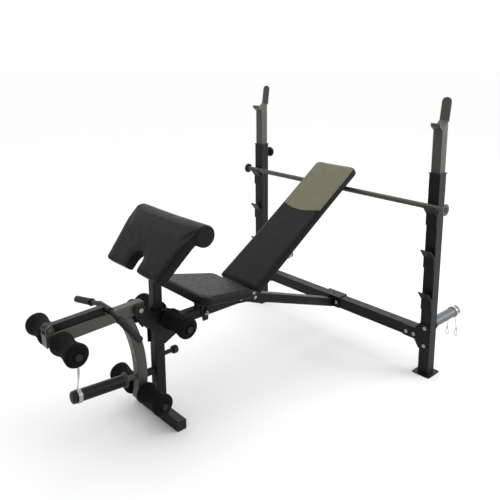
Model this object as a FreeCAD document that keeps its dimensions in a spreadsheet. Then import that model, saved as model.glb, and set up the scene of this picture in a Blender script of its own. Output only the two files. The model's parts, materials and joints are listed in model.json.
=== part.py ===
import FreeCAD, Part

import math
import operator
import os

import Sketcher

# Adjustable weight bench. Millimetres, +Z up, +X to the lifter's left when lying on the bench
# with the head towards +Y, origin on the floor under the middle of the bench.
# "Ahead" distances are measured from the uprights towards the leg developer, along -Y.

Vector = FreeCAD.Vector
doc = FreeCAD.newDocument("weight_bench")

# ---------------------------------------------------------------- driving dimensions
DIMENSIONS = {
    # whole bench
    "uprights_y": 677.75,       # from the origin to the plane of the two uprights
    "upright_x": 600,           # from the middle to each upright's centre line
    "frame_tube": 45,           # square tube of beams, front post and foot
    "frame_wall": 2,
    # uprights
    "outer_tube": 57,
    "outer_wall": 3,
    "outer_top": 998,
    "foot_side": 96,
    "plate_thick": 5,
    "inner_tube": 48,
    "inner_wall": 2.5,
    "inner_bottom": 750,
    "saddle_low": 1206,         # bottom of the bar saddle at its front
    "saddle_high": 1241,        # where its slope meets the back plate
    "saddle_top": 1344,
    "hook_top": 851,            # tip of the highest hook
    "hook_step": 210,
    "clamp_height": 946,
    # backrest support bar
    "bar_radius": 13,
    "bar_half": 672,
    "bar_flange_radius": 27,
    # cross beam and plate pegs
    "cross_height": 198,
    "peg_height": 248,
    "peg_radius": 25,
    "peg_length": 222,
    # main beams
    "beam_height": 411,         # centre line of the level front beam
    "beam_drop_end": 190.3,     # centre line height of the sloping beam at the cross beam
    "joint_ahead": 663.7,
    # front post and foot
    "post_ahead": 1141,
    "post_top": 487,
    "foot_half": 163,
    "inner_post": 40,
    "inner_post_bottom": 230,
    "post_knob_height": 275,
    # backrest
    "back_angle": 34.78,
    "back_ahead": 700,          # lower end of the cushion face
    "back_low": 487.3,
    "back_length": 836,
    "back_half": 135,
    "cushion_foam": 28,
    "cushion_board": 10,
    "rail_width": 28,
    "rail_depth": 28,
    "rail_x": 60,
    # seat
    "seat_angle": 11.35,
    "seat_ahead": 722,
    "seat_rear_height": 500,
    "seat_length": 320,
    "seat_front_half": 195,
    "seat_rear_half": 150,
    "seat_foam": 30,
    "seat_hinge_ahead": 745,
    "seat_hinge_height": 447,
    "seat_clamp_ahead": 905,
    "seat_clamp_height": 407,
    # preacher pad
    "preacher_angle": 48,
    "preacher_ahead": 1256,
    "preacher_low": 693,
    "preacher_face": 246,       # from the lower edge to the middle of the roll
    "preacher_low_half": 195,
    "preacher_top_half": 237,
    "preacher_thick": 47,
    "preacher_board": 12,
    "roll_radius": 47,
    "roll_drop": 57,            # from the pad's face down to the middle of the roll
    "notch_width": 70,
    "notch_depth": 82,
    # leg developer
    "pivot_ahead": 1236,
    "pivot_height": 525,
    "arm_angle": 2.37,
    "arm_width": 43,
    "arm_depth": 50,
    "arm_reach": 377,           # from the pivot to the front end
    "arm_tail": 27,             # from the pivot to the rear end
    "arc_radius": 590,          # centre line of the curved arm
    "arc_height": 237,
    "arc_ahead": 1228,          # rearmost point of that centre line
    "curved_depth": 44,
    "lower_shaft_ahead": 1233,
    "lower_shaft_height": 161,
    "front_shaft_ahead": 1570,
    "front_shaft_height": 502,
    "top_shaft_ahead": 1104,
    "top_shaft_height": 449,
    "shaft_radius": 12,
    "roller_radius": 45,
    "roller_length": 150,
    "roller_end": 185,
    "sleeve_angle": 4,
    "sleeve_ahead": 1299.6,
    "sleeve_height": 225,
    "sleeve_length": 218,
    # curl bar
    "curl_ahead": 1597,
    "curl_height": 551,
    "curl_tube": 30,
    "curl_reach": 229,
    "curl_bar_radius": 10,
    "grip_radius": 14,
    "grip_droop": 12.4,
    "grip_end": 205,            # from the elbow to the grip's end
    "elbow_x": 50,
}
RUN = 0.06      # radial clearance of a turning fit
GAP = 0.3       # clearance between pieces that pass each other


class Size:
    """A number worked out from the sheet, with the expression that keeps it up to date."""

    def __init__(self, value, text):
        self.value = float(value)
        self.text = text

    def combine(self, symbol, action, other, swapped=False):
        other = size(other)
        left, right = (other, self) if swapped else (self, other)
        return Size(action(left.value, right.value), f"({left.text} {symbol} {right.text})")

    def __add__(self, other):
        return self.combine("+", operator.add, other)

    def __radd__(self, other):
        return self.combine("+", operator.add, other, True)

    def __sub__(self, other):
        return self.combine("-", operator.sub, other)

    def __rsub__(self, other):
        return self.combine("-", operator.sub, other, True)

    def __mul__(self, other):
        return self.combine("*", operator.mul, other)

    def __rmul__(self, other):
        return self.combine("*", operator.mul, other, True)

    def __truediv__(self, other):
        return self.combine("/", operator.truediv, other)

    def __neg__(self):
        return 0 - self


def size(value):
    return value if isinstance(value, Size) else Size(value, f"({value:.9f})")


def make_sheet():
    sheet = doc.addObject("Spreadsheet::Sheet", "dims")
    for row, (alias, value) in enumerate(DIMENSIONS.items(), start=1):
        sheet.set(f"A{row}", alias)
        sheet.set(f"B{row}", str(value))
        sheet.setAlias(f"B{row}", alias)
    doc.recompute()
    return sheet


make_sheet()


def dim(alias):
    return Size(DIMENSIONS[alias], f"dims.{alias}")


def ahead(distance):
    """Y of a point that lies this far ahead of the uprights."""
    return dim("uprights_y") - distance


# ---------------------------------------------------------------- features
TURNS = {
    "x": FreeCAD.Rotation(Vector(0, 1, 0), 90),
    "y": FreeCAD.Rotation(Vector(1, 0, 0), -90),
    "z": FreeCAD.Rotation(),
}
counter = {}


def name_for(kind):
    counter[kind] = counter.get(kind, 0) + 1
    return f"{kind}_{counter[kind]}"


def bind(obj, prop, value):
    obj.setExpression(prop, size(value).text)


def place(obj, base=(0, 0, 0), turn=None):
    base = [size(v) for v in base]
    obj.Placement = FreeCAD.Placement(Vector(*[v.value for v in base]), turn or FreeCAD.Rotation())
    for axis, value in zip("xyz", base):
        obj.setExpression(f"Placement.Base.{axis}", value.text)
    return obj


def about_x(degrees):
    return FreeCAD.Rotation(Vector(1, 0, 0), degrees)


def box(sizes, base):
    """A box from its three sizes and its lowest corner."""
    obj = doc.addObject("Part::Box", name_for("box"))
    for prop, value in zip(("Length", "Width", "Height"), sizes):
        bind(obj, prop, value)
    return place(obj, base)


def slab(x_half, y_low, y_high, z_low, z_high):
    """A box centred across the bench."""
    return box((2 * x_half, y_high - y_low, z_high - z_low), (-x_half, y_low, z_low))


def rod(radius, length, base, axis="x"):
    obj = doc.addObject("Part::Cylinder", name_for("rod"))
    bind(obj, "Radius", radius)
    bind(obj, "Height", length)
    return place(obj, base, TURNS[axis])


def cross_rod(radius, half, y, z):
    """A rod across the bench, centred on its middle plane."""
    return rod(radius, 2 * half, (-half, y, z))


def ball(radius, base):
    obj = doc.addObject("Part::Sphere", name_for("ball"))
    bind(obj, "Radius", radius)
    return place(obj, base)


def fuse(pieces):
    if len(pieces) == 1:
        return pieces[0]
    obj = doc.addObject("Part::MultiFuse", name_for("fuse"))
    obj.Shapes = pieces
    return obj


def cut(base, tools):
    obj = doc.addObject("Part::Cut", name_for("cut"))
    obj.Base = base
    obj.Tool = fuse(tools)
    return obj


def common(first, second):
    obj = doc.addObject("Part::Common", name_for("common"))
    obj.Base = first
    obj.Tool = second
    return obj


def mirrored(piece, normal=(1, 0, 0)):
    obj = doc.addObject("Part::Mirroring", name_for("mirror"))
    obj.Source = piece
    obj.Normal = Vector(*normal)
    return obj


def group(pieces):
    obj = doc.addObject("Part::Compound", name_for("group"))
    obj.Links = pieces
    return obj


def pair(piece):
    """A piece and its mirror image on the other side of the bench."""
    return group([piece, mirrored(piece)])


def rounded(piece, radius, test):
    """Fillet the edges that pass the test."""
    doc.recompute()
    chosen = [i for i, edge in enumerate(piece.Shape.Edges, start=1) if test(edge)]
    obj = doc.addObject("Part::Fillet", name_for("fillet"))
    obj.Base = piece
    obj.Edges = [(i, radius, radius) for i in chosen]
    return obj


def along(direction, least=20):
    """A test for straight edges that run one way."""
    want = Vector(*direction).normalize()

    def test(edge):
        ends = edge.Vertexes
        if len(ends) != 2 or edge.Length < least:
            return False
        way = ends[1].Point.sub(ends[0].Point).normalize()
        return abs(abs(way.dot(want)) - 1) < 1e-4

    return test


def origin_plane(body, role):
    return [plane for plane in body.Origin.OriginFeatures if plane.Role == role][0]


def draw(sketch, outline, first):
    """Add a closed outline of straight lines, each corner held by the sheet."""
    points = [(size(u), size(v)) for u, v in outline]
    count = len(points)
    for i, (u, v) in enumerate(points):
        nu, nv = points[(i + 1) % count]
        line = Part.LineSegment(Vector(u.value, v.value, 0), Vector(nu.value, nv.value, 0))
        sketch.addGeometry(line, False)
    for i in range(count):
        end, start = first + i, first + (i + 1) % count
        sketch.addConstraint(Sketcher.Constraint("Coincident", end, 2, start, 1))
    for i, (u, v) in enumerate(points):
        for kind, value in (("DistanceX", u), ("DistanceY", v)):
            index = sketch.addConstraint(
                Sketcher.Constraint(kind, -1, 1, first + i, 1, value.value))
            sketch.setExpression(f"Constraints[{index}]", value.text)
    return first + count


def sketch_on(body, role, outlines):
    sketch = body.newObject("Sketcher::SketchObject", name_for("sketch"))
    sketch.AttachmentSupport = (origin_plane(body, role), [""])
    sketch.MapMode = "FlatFace"
    first = 0
    for outline in outlines:
        first = draw(sketch, outline, first)
    return sketch


def padded(role, outlines, length, both_ways=False):
    """A body padded from outlines on one of its origin planes."""
    body = doc.addObject("PartDesign::Body", name_for("body"))
    pad = body.newObject("PartDesign::Pad", name_for("pad"))
    pad.Profile = sketch_on(body, role, outlines)
    bind(pad, "Length", length)
    pad.Midplane = both_ways
    return body


def side_plate(outline, x_inner, thickness):
    """A plate upright along the bench: its outline is in Y and Z."""
    return place(padded("YZ_Plane", [outline], thickness), (x_inner, 0, 0))


def side_profile(outline, width):
    """A solid across the bench's middle plane, from an outline in Y and Z."""
    return padded("YZ_Plane", [outline], width, True)


def rectangle(half_u, half_v):
    return [(-half_u, -half_v), (half_u, -half_v), (half_u, half_v), (-half_u, half_v)]


def tube(wide, deep, wall, length, base, axis="z", corner=4):
    """A square or oblong tube with rounded outer corners, along one axis."""
    outer = rectangle(wide / 2, deep / 2)
    inner = rectangle(wide / 2 - wall, deep / 2 - wall)
    body = padded("XY_Plane", [outer, inner], length)
    doc.recompute()
    pad = body.Tip
    reach = size(wide).value / 2 - 0.01
    edges = []
    for i, edge in enumerate(pad.Shape.Edges, start=1):
        middle = edge.CenterOfMass
        if along((0, 0, 1))(edge) and abs(middle.x) > reach:
            edges.append(f"Edge{i}")
    fillet = body.newObject("PartDesign::Fillet", name_for("round"))
    fillet.Base = (pad, edges)
    fillet.Radius = corner
    body.Tip = fillet
    return place(body, base, TURNS[axis])


def revolved(outline, base, turn=None):
    """A body of revolution about its own Z, from an outline of radius and height."""
    body = doc.addObject("PartDesign::Body", name_for("body"))
    spin = body.newObject("PartDesign::Revolution", name_for("spin"))
    sketch = sketch_on(body, "XZ_Plane", [outline])
    spin.Profile = sketch
    spin.ReferenceAxis = (sketch, ["V_Axis"])
    spin.Angle = 360
    return place(body, base, turn)


def strip(points, thickness):
    """The outline of a bent strip whose inner side follows the points; it lies to their right."""
    offsets = []
    for i, (u, v) in enumerate(points):
        normals = []
        for a, b in ((i - 1, i), (i, i + 1)):
            if a < 0 or b >= len(points):
                continue
            du, dv = points[b][0] - points[a][0], points[b][1] - points[a][1]
            span = math.hypot(du, dv)
            normals.append((dv / span, -du / span))
        nu = sum(n[0] for n in normals) / len(normals)
        nv = sum(n[1] for n in normals) / len(normals)
        scale = thickness / (nu * nu + nv * nv)
        offsets.append((u + nu * scale, v + nv * scale))
    return list(points) + offsets[::-1]


def hex_bolt(base, axis, length, head=8.5, shank=5, head_high=6):
    """A hexagon head on the base point, with its shank going back along the axis."""
    flat = head * math.cos(math.radians(30))
    corners = [(head * math.cos(math.radians(60 * k)), head * math.sin(math.radians(60 * k)))
               for k in range(6)]
    body = padded("XY_Plane", [corners], head_high)
    washer = rod(flat + 3, 1.2, (0, 0, 0), "z")
    place(body, (0, 0, 1.2))
    stem = rod(shank, length, (0, 0, -length), "z")
    return place(fuse([body, washer, stem]), base, turn_to(axis))


def dome_bolt(base, axis, length, head=10, shank=5, head_high=6):
    """A low round head on the base point, with its shank going back along the axis."""
    curve = (head * head + head_high * head_high) / (2 * head_high)
    dome = common(ball(curve, (0, 0, head_high - curve)), rod(head, head_high, (0, 0, 0), "z"))
    stem = rod(shank, length, (0, 0, -length), "z")
    return place(fuse([dome, stem]), base, turn_to(axis))


def turn_to(axis):
    return FreeCAD.Rotation(Vector(0, 0, 1), Vector(*axis))


nodes = {}
gathered = {}


def node(label, obj):
    obj.Label = label
    nodes[label] = obj
    return obj


def gather(label, *pieces):
    """Collect pieces that will share a node as separate solids."""
    gathered.setdefault(label, []).extend(pieces)


# ---------------------------------------------------------------- uprights
UP_Y = dim("uprights_y")
OUT = dim("outer_tube") / 2
FRONT_FACE = UP_Y - OUT
REAR_FACE = UP_Y + OUT
PLATE = dim("plate_thick")


def hook(x, tip):
    """A bent strip on the front face that holds the bar in a V."""
    bent = [(-5, -95), (0, -95), (0, -42), (-33, 0), (-37.2, -2.6), (-5, -43.7)]
    outline = [(FRONT_FACE + u, tip + v) for u, v in bent]
    return place(padded("YZ_Plane", [outline], dim("outer_tube"), True), (x, 0, 0))


def upright(side, sign):
    x = sign * dim("upright_x")
    shell = tube(dim("outer_tube"), dim("outer_tube"), dim("outer_wall"),
                 dim("outer_top") - PLATE, (x, UP_Y, PLATE))
    bores = [rod(5.3, 14, (x, FRONT_FACE - 1, z), "y") for z in (240, 149)]
    bores.append(rod(5.3, 14, (x, REAR_FACE - 12, dim("clamp_height")), "y"))
    bores.append(rod(3.5, 80, (x - 40, UP_Y, 976), "x"))
    gather("upright_posts", cut(shell, bores))
    foot = box((dim("foot_side"), dim("foot_side"), PLATE),
               (x - dim("foot_side") / 2, UP_Y - dim("foot_side") / 2, 0))
    gather("foot_plates", rounded(foot, 8, along((0, 0, 1), 2)))

    bush_half = OUT - dim("outer_wall")
    collar = box((dim("outer_tube") + 4, dim("outer_tube") + 4, 5),
                 (x - OUT - 2, FRONT_FACE - 2, dim("outer_top")))
    plug = box((2 * bush_half, 2 * bush_half, 40),
               (x - bush_half, UP_Y - bush_half, dim("outer_top") - 40))
    buttons = [rod(3.5, 2 * OUT, (x - OUT, UP_Y, 976), "x")]
    opening = dim("inner_tube") / 2 + GAP
    bore = box((2 * opening, 2 * opening, 90), (x - opening, UP_Y - opening, dim("outer_top") - 60))
    gather("upright_bushes", cut(fuse([collar, plug] + buttons), [bore]))

    gather("bar_hooks", *[hook(x, dim("hook_top") - k * dim("hook_step")) for k in range(3)])

    # telescoping inner tube with its saddle
    half = dim("inner_tube") / 2
    inner = tube(dim("inner_tube"), dim("inner_tube"), dim("inner_wall"),
                 dim("saddle_high") - dim("inner_bottom"), (x, UP_Y, dim("inner_bottom")))
    under = 6.1
    ramp = [(UP_Y - half - 1, dim("saddle_low") - under), (UP_Y + half + 1, dim("saddle_high") - under),
            (UP_Y + half + 1, dim("saddle_high") + 20), (UP_Y - half - 1, dim("saddle_high") + 20)]
    wedge = place(padded("YZ_Plane", [ramp], dim("inner_tube") + 10, True), (x, 0, 0))
    node(f"{side}_inner_upright", cut(inner, [wedge]))

    edge = half.value + 1
    low, high, top = (DIMENSIONS[k] for k in ("saddle_low", "saddle_high", "saddle_top"))
    ramp_and_tab = strip([(edge + 14, top), (edge, high), (-edge, low)], -5)
    lip = [(-edge - 18, low + 26), (-edge - 21, low + 24), (-edge - 22, low + 12), (-edge, low - under)]
    outline = [(UP_Y + u, v) for u, v in ramp_and_tab[:3] + lip + ramp_and_tab[4:]]
    saddle = place(padded("YZ_Plane", [outline], dim("inner_tube"), True), (x, 0, 0))
    lean = Vector(0, 103, -14)

    def top_corner(radius_edge):
        return radius_edge.CenterOfMass.z > top - 6 and along(tuple(lean), 2)(radius_edge)

    node(f"{side}_saddle", rounded(saddle, 22, top_corner))

    # plate storage peg on the rear face
    peg_z = dim("peg_height")
    weld = rod(32, 4, (x, REAR_FACE, peg_z), "y")
    peg = rod(dim("peg_radius"), dim("peg_length") - 4, (x, REAR_FACE + 4, peg_z), "y")
    gather("plate_pegs", fuse([weld, peg]))
    tip = [(0, 0), (dim("peg_radius"), 0), (dim("peg_radius"), 3), (21, 7.5), (12, 9), (0, 9)]
    gather("peg_caps",
           revolved(tip, (x, REAR_FACE + dim("peg_length"), peg_z), turn_to((0, 1, 0))))


for side, sign in (("left", 1), ("right", -1)):
    upright(side, sign)

CLAMP_Z = dim("clamp_height")
SCREW_TIP = UP_Y + dim("inner_tube") / 2 + GAP


def clamp_nut(x, y, z):
    """A round nut welded on a tube's rear face."""
    return cut(rod(10, 12, (x, y, z), "y"), [rod(5 + RUN, 14, (x, y - 1, z), "y")])


for sign in (1, -1):
    gather("clamp_nuts", clamp_nut(sign * dim("upright_x"), REAR_FACE, CLAMP_Z))
knob_shape = [(0, 0), (5, 0), (5, 30), (14, 32), (27, 36), (29, 41), (29, 46), (26, 51), (14, 54),
              (0, 54)]
node("upright_clamp_knob",
     revolved(knob_shape, (-dim("upright_x"), SCREW_TIP, CLAMP_Z), turn_to((0, 1, 0))))
lock_base = (dim("upright_x"), REAR_FACE + 12, CLAMP_Z)
gather("frame_bolts", hex_bolt(lock_base, (0, 1, 0), 12 + OUT - dim("inner_tube") / 2 - GAP))

# ---------------------------------------------------------------- support bar
BAR_Y = FRONT_FACE - 13.3
BAR_Z = dim("hook_top") - 3.3
bar_shell = cross_rod(dim("bar_radius"), dim("bar_half"), BAR_Y, BAR_Z)
flanges = [rod(dim("bar_flange_radius"), 5, (x, BAR_Y, BAR_Z))
           for x in (dim("bar_half"), -dim("bar_half") - 5)]
node("support_bar", group([cut(piece, [cross_rod(11, dim("bar_half") + 6, BAR_Y, BAR_Z)])
                           for piece in [bar_shell] + flanges]))
plug = fuse([rod(11, 25, (dim("bar_half") - 20, BAR_Y, BAR_Z)),
             rod(13.5, 2, (dim("bar_half") + 5, BAR_Y, BAR_Z))])
node("bar_end_plugs", pair(plug))

# ---------------------------------------------------------------- cross beam
CROSS_Z = dim("cross_height")
CROSS_END = dim("upright_x") - OUT
GUSSET_BOLTS = [(497, 191), (540, 191)]
BRACKET_BOLT_X = 41
cross = tube(dim("outer_tube"), dim("outer_tube"), dim("outer_wall"), 2 * CROSS_END,
             (-CROSS_END, UP_Y, CROSS_Z), "x")
cross_bores = [rod(5.3, 20, (s * bx, FRONT_FACE - 1, bz), "y")
               for s in (1, -1) for bx, bz in GUSSET_BOLTS]
cross_bores += [rod(5.3, 70, (s * BRACKET_BOLT_X, FRONT_FACE - 6, CROSS_Z), "y") for s in (1, -1)]
node("cross_beam", cut(cross, cross_bores))

GUSSET_FACE = FRONT_FACE - PLATE
INNER_X = dim("upright_x") - OUT
OUTER_X = dim("upright_x") + OUT
LOW_Z = CROSS_Z - OUT
HIGH_Z = CROSS_Z + OUT
gusset_outline = [(478, LOW_Z), (545, LOW_Z), (INNER_X, 130), (OUTER_X - 4, 130),
                  (OUTER_X - 4, 262), (INNER_X, 262), (545, HIGH_Z), (478, HIGH_Z)]
gusset = place(padded("XZ_Plane", [gusset_outline], PLATE), (0, FRONT_FACE, 0))
gusset_bores = [rod(5.3, 8, (bx, GUSSET_FACE - 1, bz), "y")
                for bx, bz in GUSSET_BOLTS + [(600, 240), (600, 149)]]
node("gusset_plates", pair(cut(gusset, gusset_bores)))
gather("frame_bolts", *[dome_bolt((s * bx, GUSSET_FACE, bz), (0, -1, 0), 11)
                        for s in (1, -1) for bx, bz in GUSSET_BOLTS + [(600, 240), (600, 149)]])

saddle_strip = strip([(FRONT_FACE.value, LOW_Z.value), (FRONT_FACE.value, HIGH_Z.value),
                      (REAR_FACE.value, HIGH_Z.value), (REAR_FACE.value, LOW_Z.value)], -5)
bracket = side_profile(saddle_strip, 124)
node("centre_bracket", cut(bracket, [
    rod(5.3, 80, (s * BRACKET_BOLT_X, FRONT_FACE - 10, CROSS_Z), "y") for s in (1, -1)]))
front_bolts = [dome_bolt((s * BRACKET_BOLT_X, FRONT_FACE - 5, CROSS_Z), (0, -1, 0), 67)
               for s in (1, -1)]
nuts = [rod(8.5, 7, (s * BRACKET_BOLT_X, REAR_FACE + 5, CROSS_Z), "y") for s in (1, -1)]
gather("frame_bolts", *[fuse([bolt, nut]) for bolt, nut in zip(front_bolts, nuts)])

# ---------------------------------------------------------------- main beams
TUBE = dim("frame_tube")
HALF = TUBE / 2
WALL = dim("frame_wall")
JOINT_Y = ahead(dim("joint_ahead"))
BEAM_Z = dim("beam_height")
SLOPE_END = FRONT_FACE - 5
drop = BEAM_Z - dim("beam_drop_end")
run = dim("joint_ahead").value - (OUT.value + 5)
slope = math.atan2(drop.value, run)
MITRE = HALF.value * math.tan(slope / 2)
RISE = HALF.value / math.cos(slope)
POST_Y = ahead(dim("post_ahead"))
POST_REAR = POST_Y + HALF


def hollow_beam(corners, inner_corners):
    solid = rounded(side_profile(corners, TUBE), 4, lambda edge: edge.Length > 200)
    return cut(solid, [side_profile(inner_corners, TUBE - 2 * WALL)])


def beam_corners(inset, overrun):
    """Outline of the sloping beam, its walls set in and its ends run out."""
    rise, mitre = RISE - inset / math.cos(slope), MITRE * (1 - inset / HALF.value)
    back_z = dim("beam_drop_end") - overrun * math.tan(slope)
    if overrun:
        front = [(JOINT_Y - overrun, BEAM_Z + overrun * math.tan(slope) + s * rise)
                 for s in (1, -1)]
    else:
        front = [(JOINT_Y + s * mitre, BEAM_Z + s * HALF) for s in (1, -1)]
    return [front[1], (SLOPE_END + overrun, back_z - rise), (SLOPE_END + overrun, back_z + rise),
            front[0]]


sloping = hollow_beam(beam_corners(0, 0), beam_corners(2, 6))
node("sloping_beam", cut(sloping, [cross_rod(5.3, 60, ahead(612), 392)]))
level = [(POST_REAR, BEAM_Z - HALF), (JOINT_Y - MITRE, BEAM_Z - HALF),
         (JOINT_Y + MITRE, BEAM_Z + HALF), (POST_REAR, BEAM_Z + HALF)]
level_inner = [(POST_REAR - 1, BEAM_Z - HALF + WALL), (JOINT_Y + 9, BEAM_Z - HALF + WALL),
               (JOINT_Y + 9, BEAM_Z + HALF - WALL), (POST_REAR - 1, BEAM_Z + HALF - WALL)]
CLAMP_Y = ahead(dim("seat_clamp_ahead"))
CLAMP_BOLT_Z = dim("seat_clamp_height")
JOINT_BOLTS = [(ahead(700), BEAM_Z), (ahead(612), 392)]
PIVOT_BOLTS = [(ahead(1040), BEAM_Z)]
SEAT_HINGE = (ahead(dim("seat_hinge_ahead")), dim("seat_hinge_height"))
hinge_lug = fuse([box((5, 24, SEAT_HINGE[1] - BEAM_Z - HALF + 1),
                      (HALF - 5, SEAT_HINGE[0] - 12, BEAM_Z + HALF - 1)),
                  common(rod(12, 5, (HALF - 5, *SEAT_HINGE)),
                         slab(60, SEAT_HINGE[0] - 20, SEAT_HINGE[0] + 20, BEAM_Z + HALF - 1,
                              SEAT_HINGE[1] + 30))])
lugs = [cut(hinge_lug, [rod(5, 9, (HALF - 7, *SEAT_HINGE))])]
lugs.append(mirrored(lugs[0]))
node("level_beam", cut(fuse([hollow_beam(level, level_inner)] + lugs),
                       [cross_rod(5, 60, CLAMP_Y, CLAMP_BOLT_Z),
                        cross_rod(5.3, 60, *JOINT_BOLTS[0]), cross_rod(5.3, 60, *PIVOT_BOLTS[0])]))

BACK_TURN = about_x(DIMENSIONS["back_angle"])
BACK_Y = ahead(dim("back_ahead"))
BACK_Z = dim("back_low")
cushion = dim("cushion_foam") + dim("cushion_board")
hinge_local = Vector(0, 6, -(cushion.value + DIMENSIONS["rail_depth"] / 2))
hinge_point = BACK_TURN.multVec(hinge_local).add(Vector(0, BACK_Y.value, BACK_Z.value))
HINGE_Y, HINGE_Z = hinge_point.y, hinge_point.z

joint_outline = [(ahead(715), 392), (ahead(665), 386), (ahead(588), 356), (ahead(592), 412),
                 (ahead(640), 429), (HINGE_Y + 12, HINGE_Z - 2), (HINGE_Y - 12, HINGE_Z - 2),
                 (ahead(685), 433), (ahead(715), 431)]
joint_plate = fuse([side_plate(joint_outline, HALF, PLATE),
                    rod(12.5, PLATE, (HALF, HINGE_Y, HINGE_Z))])
joint_holes = [rod(5, 12, (HALF - 3, HINGE_Y, HINGE_Z))]
joint_holes += [rod(5.3, 12, (HALF - 3, y, z)) for y, z in JOINT_BOLTS]
node("joint_plates", pair(cut(joint_plate, joint_holes)))


gather("frame_bolts", *[dome_bolt((s * (HALF + PLATE), y, z), (s, 0, 0), 9)
                        for s in (1, -1) for y, z in JOINT_BOLTS + PIVOT_BOLTS])

# ---------------------------------------------------------------- front post and foot
post_tube = tube(TUBE, TUBE, WALL, dim("post_top") - TUBE, (0, POST_Y, TUBE))
node("front_post", cut(post_tube, [rod(5.3, 12, (0, POST_REAR - 8, dim("post_knob_height")), "y")]))
node("front_foot", tube(TUBE, TUBE, WALL, 2 * dim("foot_half") - 6,
                        (3 - dim("foot_half"), POST_Y, HALF), "x"))
foot_cap = fuse([
    box((3, TUBE, TUBE), (dim("foot_half") - 3, POST_Y - HALF, 0)),
    box((18, TUBE - 2 * WALL, TUBE - 2 * WALL),
        (dim("foot_half") - 21, POST_Y - HALF + WALL, WALL))])
node("foot_end_caps", pair(rounded(foot_cap, 4, lambda e: along((1, 0, 0), 2)(e)
                                   and e.Length < 3.5)))
bumper_tip = UP_Y - dim("arc_ahead") + dim("curved_depth") / 2 + GAP
node("stop_bumper", rod(16, POST_Y - HALF - bumper_tip, (0, bumper_tip, 217), "y"))

# ---------------------------------------------------------------- leg developer pivot plates
PIVOT_Y = ahead(dim("pivot_ahead"))
PIVOT_Z = dim("pivot_height")
TOP_SHAFT = (ahead(dim("top_shaft_ahead")), dim("top_shaft_height"))
pivot_outline = [(ahead(1010), 388.5), (ahead(1010), 433.5), (ahead(1118), 487), (ahead(1166), 487),
                 (ahead(1219), 543), (ahead(1252), 509), (ahead(1238), 462), (ahead(1226), 444),
                 (ahead(1208), 444), (ahead(1172), 400), (ahead(1172), 340), (ahead(1118), 335)]
pivot_plate = fuse([side_plate(pivot_outline, HALF, PLATE),
                    rod(23, PLATE, (HALF, PIVOT_Y, PIVOT_Z))])
pivot_holes = [rod(6, 12, (HALF - 3, PIVOT_Y, PIVOT_Z)),
               rod(dim("shaft_radius"), 12, (HALF - 3, *TOP_SHAFT)),
               rod(5.3, 12, (HALF - 3, *PIVOT_BOLTS[0]))]
node("pivot_plates", pair(cut(pivot_plate, pivot_holes)))
boss_x = HALF + PLATE
boss = [(6, 0), (25, 0), (25, 7), (22, 10), (6, 10)]
node("pivot_bosses", pair(revolved(boss, (boss_x, PIVOT_Y, PIVOT_Z), TURNS["x"])))
pivot_stem = cross_rod(6, boss_x + 10, PIVOT_Y, PIVOT_Z)
pivot_ends = [rod(9.5, 8, (boss_x + 10, PIVOT_Y, PIVOT_Z)),
              rod(9.5, 8, (-boss_x - 18, PIVOT_Y, PIVOT_Z))]
gather("cross_bolts", fuse([pivot_stem] + pivot_ends))


def shaft_and_rollers(place_name, carrier, y, z):
    """A shaft across the bench with a foam roller and an end cap on each side."""
    end = dim("roller_end")
    shell = cross_rod(dim("shaft_radius"), end + 2, y, z)
    gather(f"{carrier}_roller_shafts", cut(shell, [cross_rod(10, end + 3, y, z)]))
    for side, sign in (("left", 1), ("right", -1)):
        start = (end - dim("roller_length")) if sign == 1 else -end
        foam = cut(rod(dim("roller_radius"), dim("roller_length"), (start, y, z)),
                   [rod(dim("shaft_radius") + RUN, dim("roller_length") + 2, (start - 1, y, z))])
        node(f"{side}_{place_name}_roller", foam)
    cap = fuse([rod(10, 15, (end - 13, y, z)), rod(13.5, 5, (end + 2, y, z))])
    gather(f"{carrier}_shaft_caps", cap, mirrored(cap))


shaft_and_rollers("top", "frame", *TOP_SHAFT)

# ---------------------------------------------------------------- leg developer
ARM_TURN = about_x(DIMENSIONS["arm_angle"])
ARM_BASE = (0, PIVOT_Y, PIVOT_Z)


def arm_point(y_ahead, z):
    """Row position of a point given in the arm's own tilted frame."""
    return ARM_TURN.multVec(Vector(0, -y_ahead, z)).add(Vector(0, PIVOT_Y.value, PIVOT_Z.value))


arm_shell = tube(dim("arm_width"), dim("arm_depth"), dim("inner_wall"),
                 dim("arm_reach") + dim("arm_tail") - 3, (0, 3 - dim("arm_reach"), 0), "y")
arm_end = slab(dim("arm_width") / 2, -dim("arm_reach"), 3 - dim("arm_reach"),
               -dim("arm_depth") / 2, dim("arm_depth") / 2)
curl_pin = ARM_TURN.inverted().multVec(
    Vector(0, DIMENSIONS["pivot_ahead"] - DIMENSIONS["curl_ahead"],
           DIMENSIONS["curl_height"] - DIMENSIONS["pivot_height"]))
ear_x = dim("curl_tube") / 2 + GAP
ear = fuse([box((5, 32, curl_pin.z - dim("arm_depth") / 2 + 3),
                (ear_x, curl_pin.y - 16, dim("arm_depth") / 2 - 3)),
            rod(16, 5, (ear_x, curl_pin.y, curl_pin.z))])
front_shaft = ARM_TURN.inverted().multVec(
    Vector(0, -DIMENSIONS["front_shaft_ahead"] + DIMENSIONS["pivot_ahead"],
           DIMENSIONS["front_shaft_height"] - DIMENSIONS["pivot_height"]))
arm_holes = [cross_rod(6 + RUN, 40, 0, 0),
             cross_rod(dim("shaft_radius"), 40, front_shaft.y, front_shaft.z)]
arm_holes.append(cross_rod(5, 30, curl_pin.y, curl_pin.z))
arm_solid = cut(fuse([arm_shell, arm_end, ear, mirrored(ear)]), arm_holes)
node("developer_arm", place(arm_solid, ARM_BASE, ARM_TURN))
arm_wall = dim("inner_wall")

ARC_Y = ahead(dim("arc_ahead") + dim("arc_radius"))
ARC_Z = dim("arc_height")
TURN_DEPTH = dim("curved_depth")


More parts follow.
